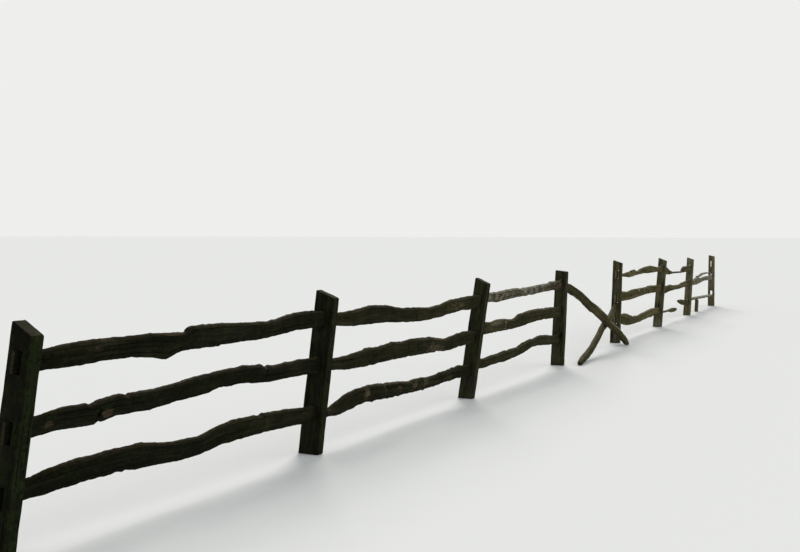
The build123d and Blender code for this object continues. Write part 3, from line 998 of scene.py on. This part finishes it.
# The first three colours of each finish are the damp wood in painted shade, the next three the
# dried wood in painted haze
finishes = {
    "post_oak": make_oak(
        "post_oak",
        (paint(0.0052, 0.0052, 0.0031), paint(0.0125, 0.0120, 0.0070), paint(0.050, 0.041, 0.024)),
        (paint(0.120, 0.105, 0.070), paint(0.270, 0.240, 0.168), paint(0.420, 0.390, 0.290)),
        silvering_and_highlight=0.5, dampness=0.95, frost=0.0),
    "rail_oak": make_oak(
        "rail_oak",
        (paint(0.0043, 0.0041, 0.0024), paint(0.0118, 0.0108, 0.0064), paint(0.062, 0.045, 0.025)),
        (paint(0.071, 0.059, 0.031), paint(0.174, 0.147, 0.085), paint(0.330, 0.290, 0.190)),
        silvering_and_highlight=0.7, dampness=0.38, frost=0.0),
    "frosted_oak": make_oak(
        "frosted_oak",
        (paint(0.028, 0.023, 0.013), paint(0.068, 0.058, 0.035), paint(0.180, 0.162, 0.112)),
        (paint(0.085, 0.074, 0.050), paint(0.200, 0.178, 0.130), paint(0.400, 0.370, 0.300)),
        silvering_and_highlight=0.9, dampness=0.30, frost=0.42),
}
print("finishes:", ", ".join(finishes))

# %% [markdown]
# ## Making the pieces
#
# A stick that has been read and worn is passed through the tree. The result is taken as a plain
# mesh with no modifiers left on it, and it replaces the solid that it was read from.

# %% From a stick to a finished piece
SHARP_ANGLE = math.radians(48)


def weather(stick, sizes, slot):
    """Run the skin tree on a stick and hang the result in place of its solid."""
    piece = bpy.data.objects.new(stick.name + "_wood", stick.to_mesh())
    bpy.context.scene.collection.objects.link(piece)
    skin = piece.modifiers.new("weathered skin", "NODES")
    skin.node_group = skin_tree
    given = {**SKIN_SIZES, **sizes, "Finish": finishes[slot]}
    for item in skin_tree.interface.items_tree:
        if item.in_out == "INPUT" and item.name in given:
            skin[item.identifier] = given[item.name]
    depsgraph = bpy.context.evaluated_depsgraph_get()
    mesh = bpy.data.meshes.new_from_object(
        piece.evaluated_get(depsgraph), preserve_all_data_layers=True, depsgraph=depsgraph)
    piece.modifiers.remove(skin)
    rough = piece.data
    piece.data = mesh
    bpy.data.meshes.remove(rough)
    mesh.name = piece.name
    mesh.set_sharp_from_angle(angle=SHARP_ANGLE)
    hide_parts(stick.name)
    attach(piece, "root")
    return len(mesh.polygons)


print("edges sharper than", round(math.degrees(SHARP_ANGLE)), "degrees stay sharp")

# %% [markdown]
# ## The posts
#
# The eight posts are alike but for their lean, their size and how dry they are, which also paints
# them darker near the eye, as painted shade, and paler far off, as painted haze. Their skin is
# calmer than a rail's, and calmer still round the mouths of the mortises.

# %% Posts
POST_SEED = 100
FIRST_FAR_POST = 4
POST_CRACKS = 11
POST_CRACK_LENGTHS = (0.15, 0.5)
POST_SKIN = {"Ridge Depth": 0.0016, "Swell": 0.0028, "Edge Waver": 0.0020}
POST_GRAIN_APART = 3.7
MORTISE_CALM = 0.6
# Dryness of each post, rising with distance, which is also painted shade near the eye and painted
# haze far off
POST_DRYNESS_AND_LIGHT = (0.0, 0.02, 0.12, 0.21, 0.36, 0.60, 0.80, 0.74)

post_middles = []
faces = 0
for number, dryness_and_light in enumerate(POST_DRYNESS_AND_LIGHT, start=1):
    rng = np.random.default_rng(POST_SEED + number)
    name = f"post_{number}"
    post = read_post(name, NEAR_STEP if number < FIRST_FAR_POST else FAR_STEP)
    low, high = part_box(name)
    post_middles.append(((low[0] + high[0]) / 2, (high[0] - low[0]) / 2))
    for rows, front, back in post.windows:
        for first, last in (front, back):
            post.rings[rows[0] - 1:rows[1] + 2, first - 1:last + 2, CALM] = MORTISE_CALM
    open_cracks(post, POST_CRACKS, POST_CRACK_LENGTHS, rng)
    post.rings[:, :, GRAIN_ALONG] += number * POST_GRAIN_APART
    post.rings[:, :, DRY_AND_LIT] = dryness_and_light
    faces += weather(post, POST_SKIN, "post_oak")
print("posts:", faces, "faces")

# %% [markdown]
# ## The wear of each rail
#
# No two rails are alike, so their wear is kept in tables under the names of the rails. Every
# place is a distance along the row, and every height is a share of the rail's own depth.

# %% Bites, checks and torn ends
# Bites out of an edge: where, its length before and after that, its depth, and whether it is in
# the top. A depth below zero makes a swelling instead.
POST_4_SWELLING = [(8.205, 0.080, 0.060, -0.012, True)]
NOTCHES = {
    "bay_1_top_rail": [(1.180, 0.060, 0.012, 0.016, True), (1.500, 0.012, 0.100, 0.009, False)],
    "bay_1_middle_rail": [(0.475, 0.012, 0.060, 0.012, True), (0.545, 0.030, 0.020, 0.010, False),
                          (0.756, 0.040, 0.018, 0.012, True), (2.047, 0.050, 0.035, 0.018, True)],
    "bay_1_bottom_rail": [(2.045, 0.070, 0.012, 0.010, True)],
    "bay_2_middle_rail": [(4.400, 0.020, 0.050, 0.010, True), (4.640, 0.060, 0.020, 0.010, False)],
    "bay_2_bottom_rail": [(3.150, 0.220, 0.300, -0.012, False)],
    "bay_3_top_rail": POST_4_SWELLING,
    "bay_3_middle_rail": POST_4_SWELLING,
    "bay_3_bottom_rail": POST_4_SWELLING,
    "bay_5_top_rail": [(11.440, 0.060, 0.020, 0.012, True), (11.740, 0.050, 0.030, 0.030, True),
                       (12.090, 0.100, 0.030, 0.020, True)],
    "bay_5_bottom_rail": [(12.100, 0.130, 0.030, 0.020, True)],
}

# Cracks across the grain: where, their slant, the shares of the height that they join, their
# depth and how pale the lip is
CHECKS = {
    "bay_1_middle_rail": [
        (0.535, 0.030, 0.02, 0.70, 0.016, 0.0), (0.505, 0.050, 0.02, 0.60, 0.006, 0.5),
        (2.047, 0.004, 0.45, 0.98, 0.006, 0.2)],
    "bay_1_bottom_rail": [(2.052, 0.030, 0.10, 0.98, 0.005, 0.3)],
    "bay_2_top_rail": [(4.160, 0.006, 0.05, 0.95, 0.004, 0.0)],
    "bay_2_middle_rail": [
        (4.219, -0.020, 0.30, 0.95, 0.006, 0.2), (4.380, -0.060, 0.05, 0.60, 0.006, 0.7),
        (4.480, -0.060, 0.20, 0.80, 0.006, 0.6)],
    "bay_2_bottom_rail": [
        (3.400, -0.050, 0.10, 0.95, 0.008, 0.5), (3.728, -0.070, 0.10, 0.98, 0.008, 0.8),
        (4.200, -0.060, 0.20, 0.98, 0.008, 0.8), (4.254, -0.060, 0.20, 0.90, 0.008, 0.6),
        (4.440, -0.060, 0.30, 0.98, 0.008, 0.8)],
    "bay_3_middle_rail": [(6.260, -0.060, 0.20, 0.98, 0.010, 0.5)],
    "bay_5_middle_rail": [(12.165, -0.170, 0.10, 0.95, 0.006, 0.9)],
    "bay_5_bottom_rail": [
        (11.260, 0.060, 0.20, 0.90, 0.008, 0.35), (11.420, 0.060, 0.20, 0.90, 0.008, 0.35)],
}

# Broken ends: whether it is the end nearer to the first post, and the longest missing fibre
TORN = {
    "bay_4_fallen_top_rail": [(False, 0.05)],
    "bay_4_fallen_middle_rail": [(False, 0.012), (True, 0.06)],
    "bay_6_bottom_rail_left": [(False, 0.07)],
    "bay_6_bottom_rail_right": [(True, 0.09)],
    "bay_7_middle_splinter": [(True, 0.03), (False, 0.05)],
    "bay_7_top_rail_stub": [(True, 0.012)],
}
print("bites:", sum(map(len, NOTCHES.values())), "and checks:", sum(map(len, CHECKS.values())))

# %% Bare wood, dry lengths and rough rails
# Bare wood: from where to where, between which shares of the height, and how much of it is bare
BARE = {
    "bay_1_top_rail": [(0.930, 1.172, 0.88, 1.00, 0.8), (0.330, 0.520, 0.40, 0.80, 0.35)],
    "bay_1_middle_rail": [(0.555, 0.650, 0.02, 0.62, 0.55), (0.170, 0.240, 0.25, 0.60, 0.6),
                          (0.740, 0.780, 0.85, 1.00, 0.6), (1.500, 2.040, 0.90, 1.00, 0.3)],
    "bay_1_bottom_rail": [(0.700, 1.250, 0.92, 1.00, 0.4)],
    "bay_2_top_rail": [(4.711, 5.150, 0.10, 0.90, 0.32)],
    "bay_2_middle_rail": [(4.373, 4.820, 0.02, 0.55, 0.45), (4.400, 4.900, 0.85, 1.00, 0.5)],
    "bay_2_bottom_rail": [(2.820, 3.000, 0.50, 1.00, 0.4), (3.395, 3.510, 0.20, 1.00, 0.55),
                          (3.500, 4.300, 0.88, 1.00, 0.5), (3.960, 4.060, 0.15, 0.80, 0.45),
                          (4.265, 4.345, 0.25, 1.00, 0.6), (4.455, 4.560, 0.25, 1.00, 0.5)],
    "bay_3_top_rail": [(5.860, 5.960, 0.25, 0.95, 0.7), (6.760, 6.860, 0.30, 1.00, 0.8)],
    "bay_3_middle_rail": [(5.800, 6.240, 0.55, 1.00, 0.45), (6.600, 8.100, 0.90, 1.00, 0.45)],
    # Along the fallen top rail's top edge the bare wood is partly a painted highlight
    "bay_4_fallen_top_rail": [(9.460, 9.720, 0.72, 1.00, 1.0), (10.020, 10.520, 0.72, 1.00, 1.0)],
}

# Lengths of rail that dried more or less than the rest: from where to where, and how much
DRIED_LENGTHS = {
    "bay_1_top_rail": [(0.150, 0.620, 0.03), (1.250, 2.760, 0.03)],
    "bay_1_bottom_rail": [(1.400, 2.760, 0.05)],
    "bay_2_top_rail": [(4.160, 5.500, 0.06), (4.711, 5.150, 0.05)],
    "bay_2_bottom_rail": [(3.380, 3.520, 0.06), (4.265, 4.345, 0.04)],
    "bay_3_top_rail": [(7.700, 8.400, -0.13), (7.950, 8.400, -0.13)],
    "bay_3_middle_rail": [(6.560, 8.200, -0.08)],
    "bay_5_bottom_rail": [(12.050, 13.800, 0.12)],
}

# Rails that are rougher than the rest, as if the bark had only lately come off
ROUGH = {
    "bay_2_middle_rail": {"Ridge Depth": 0.0032, "Swell": 0.0060, "Edge Waver": 0.014},
    "bay_2_bottom_rail": {"Ridge Depth": 0.0045, "Swell": 0.0080, "Edge Waver": 0.018},
    "bay_5_bottom_rail": {"Ridge Depth": 0.0040, "Swell": 0.0090, "Edge Waver": 0.016},
}
FROSTED = ("bay_3_top_rail", "bay_7_middle_rail", "bay_7_middle_splinter", "bay_7_bottom_board")
print("patches of bare wood:", sum(map(len, BARE.values())))

# %% [markdown]
# ## The rails
#
# A rail is chipped and bitten first, then cracked and torn. Where its blade sits in a mortise it
# stays calm, which keeps it inside the hole and clear of the blade beside it.

# %% Rails
RAIL_SEED = 500
FIRST_FAR_BAY = 3
RAIL_CRACKS, STAKE_CRACKS = 11, 2
RAIL_CRACK_LENGTHS = (0.06, 0.35)
NEAR_CHIP, FAR_CHIP = 0.004, 0.007
NEAR_LIP, FAR_LIP = 2, 4
RAIL_GRAIN_APART = 5.3
BLADE_MARGIN = 0.004
BLADE_FADE = 0.05
# Dryness of each bay's rails, mostly rising with distance, which is also painted shade near the
# eye and painted haze far off
RAIL_DRYNESS_AND_LIGHT = (0.0, 0.11, 0.33, 0.50, 0.76, 0.62, 0.95)
# The bottom rails of the first bays are darker still
DARKER_BOTTOM_SHARE = 0.55
LAST_BAY_WITH_DARKER_BOTTOM = 3


def calm_blades(stick, bay):
    """Keep the ends of a rail that sit in mortises within their solid."""
    for centre, half in post_middles[bay - 1:bay + 1]:
        past = (np.abs(stick.rings[:, :, ALONG] - centre) - (half + BLADE_MARGIN)) / BLADE_FADE
        calm = 1 - np.clip(past, 0, 1)
        stick.rings[:, :, CALM] = np.maximum(stick.rings[:, :, CALM], calm)


faces = 0
for order, name in enumerate(sorted(name for name in nodes if name.startswith("bay_"))):
    rng = np.random.default_rng(RAIL_SEED + order)
    bay = int(name.split("_")[1])
    is_near = bay < FIRST_FAR_BAY
    is_stake = name.endswith("prop")
    is_plank = name.endswith("board")
    stick = read_stick(name, UP if is_stake else ALONG, NEAR_STEP if is_near else FAR_STEP,
                       *(PLANK_STEPS if is_plank else RAIL_STEPS))
    if not is_stake and not is_plank:
        chip_edges(stick, NEAR_CHIP if is_near else FAR_CHIP, rng)
    for bite in NOTCHES.get(name, []):
        notch(stick, *bite)
    open_cracks(stick, STAKE_CRACKS if is_stake else RAIL_CRACKS, RAIL_CRACK_LENGTHS, rng)
    for check in CHECKS.get(name, []):
        check_across(stick, *check, NEAR_LIP if is_near else FAR_LIP, rng)
    for patch in BARE.get(name, []):
        lay_bare(stick, *patch)
    for at_start, longest in TORN.get(name, []):
        tear_end(stick, at_start, longest, rng)
    if not is_stake:
        calm_blades(stick, bay)
    has_darker_bottom = bay <= LAST_BAY_WITH_DARKER_BOTTOM and "bottom" in name
    stick.rings[:, :, GRAIN_ALONG] += order * RAIL_GRAIN_APART
    stick.rings[:, :, DRY_AND_LIT] = RAIL_DRYNESS_AND_LIGHT[bay - 1] * (DARKER_BOTTOM_SHARE if has_darker_bottom else 1)
    for length in DRIED_LENGTHS.get(name, []):
        dry_out(stick, *length)
    slot = "frosted_oak" if name in FROSTED else "rail_oak"
    faces += weather(stick, ROUGH.get(name, {}), slot)
print("rails:", faces, "faces")

# %% [markdown]
# ## Ground and light
#
# The fence stands on a pale plain ground. A wide soft sun stands low beyond the far end of the
# row, as in the photograph, so the near faces are in shade and the top edges catch the light.
# The world fills the shade evenly, and the camera sees it as a pale backdrop.

# %% Ground
GROUND_SIZE = 600.0
GROUND_DROP = 0.003
GROUND_COLOUR = paint(0.80, 0.815, 0.85)

half_ground = GROUND_SIZE / 2
corners = [(x * half_ground, y * half_ground, -GROUND_DROP)
           for x, y in ((-1, -1), (1, -1), (1, 1), (-1, 1))]
ground_mesh = bpy.data.meshes.new("ground")
ground_mesh.from_pydata(corners, [], [(0, 1, 2, 3)])
ground = bpy.data.objects.new("ground", ground_mesh)
bpy.context.scene.collection.objects.link(ground)
ground_finish = bpy.data.materials.new("pale_ground")
ground_finish.use_nodes = True
shader = ground_finish.node_tree.nodes["Principled BSDF"]
shader.inputs["Base Color"].default_value = GROUND_COLOUR
shader.inputs["Roughness"].default_value = 1.0
shader.inputs["Specular IOR Level"].default_value = 0.0
ground_mesh.materials.append(ground_finish)
print("the ground is", GROUND_SIZE, "m wide")

# %% Sun, fill and world
SUN_FROM = Vector((0.86, 0.34, 0.52))
FILL_FROM = Vector((0.10, -0.92, 0.38))
AIR_STRENGTH, BACKDROP_EXTRA = 0.50, 0.36
AIR_COLOUR = paint(0.97, 1.0, 0.97)
BACKDROP_COLOUR = paint(1.0, 1.0, 0.99)


def add_sun(name, direction, energy, softness, colour):
    """A sun that shines from a direction, with its softness in degrees."""
    lamp = bpy.data.lights.new(name, "SUN")
    lamp.energy = energy
    lamp.angle = math.radians(softness)
    lamp.color = colour
    holder = bpy.data.objects.new(name, lamp)
    holder.rotation_mode = "QUATERNION"
    holder.rotation_quaternion = direction.to_track_quat("Z", "Y")
    bpy.context.scene.collection.objects.link(holder)


add_sun("sun", SUN_FROM, energy=2.7, softness=25, colour=(1.0, 0.955, 0.86))
add_sun("fill", FILL_FROM, energy=0.7, softness=90, colour=(1.0, 0.98, 0.90))

world = bpy.data.worlds.new("studio")
world.use_nodes = True
bpy.context.scene.world = world
world.node_tree.nodes.clear()
air = Wire(world.node_tree)
path = {key: air.node("ShaderNodeLightPath", None, None, key)
        for key in ("Is Camera Ray", "Is Glossy Ray", "Is Transmission Ray")}
seen = path["Is Camera Ray"].at_least(path["Is Glossy Ray"]).at_least(path["Is Transmission Ray"])
backdrop = air.node("ShaderNodeBackground", None, {
    "Color": mix(air, seen, AIR_COLOUR, BACKDROP_COLOUR),
    "Strength": AIR_STRENGTH + seen * BACKDROP_EXTRA})
sky_output = world.node_tree.nodes.new("ShaderNodeOutputWorld")
world.node_tree.links.new(backdrop.socket, sky_output.inputs["Surface"])
print("sun, fill and world are in place")

# %% [markdown]
# ## Close
#
# The box of the solids is printed.

# %% Sizes and finish
print("solids", cad_box)
